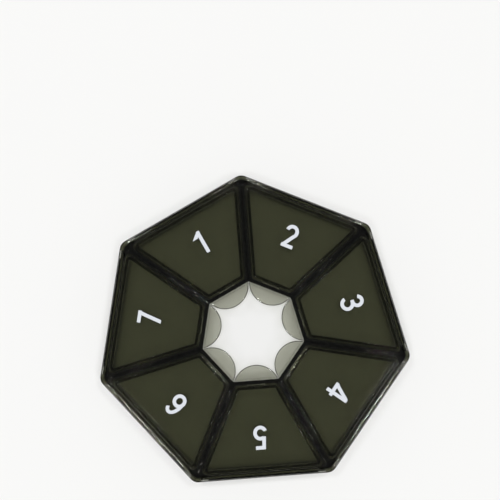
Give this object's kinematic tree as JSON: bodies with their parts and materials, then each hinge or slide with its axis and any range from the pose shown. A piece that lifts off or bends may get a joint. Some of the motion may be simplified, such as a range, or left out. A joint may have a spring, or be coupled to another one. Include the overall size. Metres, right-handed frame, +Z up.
{
  "type": "weekly pill box",
  "caption": "Seven-sided ring-shaped pill box of smoked clear plastic, with a hinged flip lid and thumb tab over each daily pocket and an open hole in the middle.",
  "frame": {"origin": "on the ring's axis, at the centre of the middle hole, in the plane that the box stands on", "axes": "+Z up out of the lids; +Y from the axis to a corner of the ring, so that the side opposite faces -Y; +X to the right"},
  "size_m": [0.1044, 0.102, 0.0214],
  "materials": {
    "tray_plastic": "smoked olive-grey clear plastic, polished mould finish",
    "lid_plastic": "smoked olive-grey clear plastic, polished mould finish, with a white printed number"
  },
  "bodies": {
    "tray": {"tray": "tray_plastic"},
    "lid_1": {"lid_1": "lid_plastic"},
    "lid_2": {"lid_2": "lid_plastic"},
    "lid_3": {"lid_3": "lid_plastic"},
    "lid_4": {"lid_4": "lid_plastic"},
    "lid_5": {"lid_5": "lid_plastic"},
    "lid_6": {"lid_6": "lid_plastic"},
    "lid_7": {"lid_7": "lid_plastic"}
  },
  "joints": [
    {"name": "lid_1_hinge", "type": "hinge", "parent": "tray", "child": "lid_1", "pos_m": [-0.02054, 0.04266, 0.02005], "axis": [-0.901, -0.4339, 0], "range_deg": [0, 180]},
    {"name": "lid_2_hinge", "type": "hinge", "parent": "tray", "child": "lid_2", "pos_m": [0.02054, 0.04266, 0.02005], "axis": [-0.901, 0.4339, 0], "range_deg": [0, 180]},
    {"name": "lid_3_hinge", "type": "hinge", "parent": "tray", "child": "lid_3", "pos_m": [0.04616, 0.01054, 0.02005], "axis": [-0.2225, 0.9749, 0], "range_deg": [0, 180]},
    {"name": "lid_4_hinge", "type": "hinge", "parent": "tray", "child": "lid_4", "pos_m": [0.03702, -0.02952, 0.02005], "axis": [0.6235, 0.7818, 0], "range_deg": [0, 180]},
    {"name": "lid_5_hinge", "type": "hinge", "parent": "tray", "child": "lid_5", "pos_m": [0, -0.04735, 0.02005], "axis": [1, 0, 0], "range_deg": [0, 180]},
    {"name": "lid_6_hinge", "type": "hinge", "parent": "tray", "child": "lid_6", "pos_m": [-0.03702, -0.02952, 0.02005], "axis": [0.6235, -0.7818, 0], "range_deg": [0, 180]},
    {"name": "lid_7_hinge", "type": "hinge", "parent": "tray", "child": "lid_7", "pos_m": [-0.04616, 0.01054, 0.02005], "axis": [-0.2225, -0.9749, 0], "range_deg": [0, 180]}
  ]
}
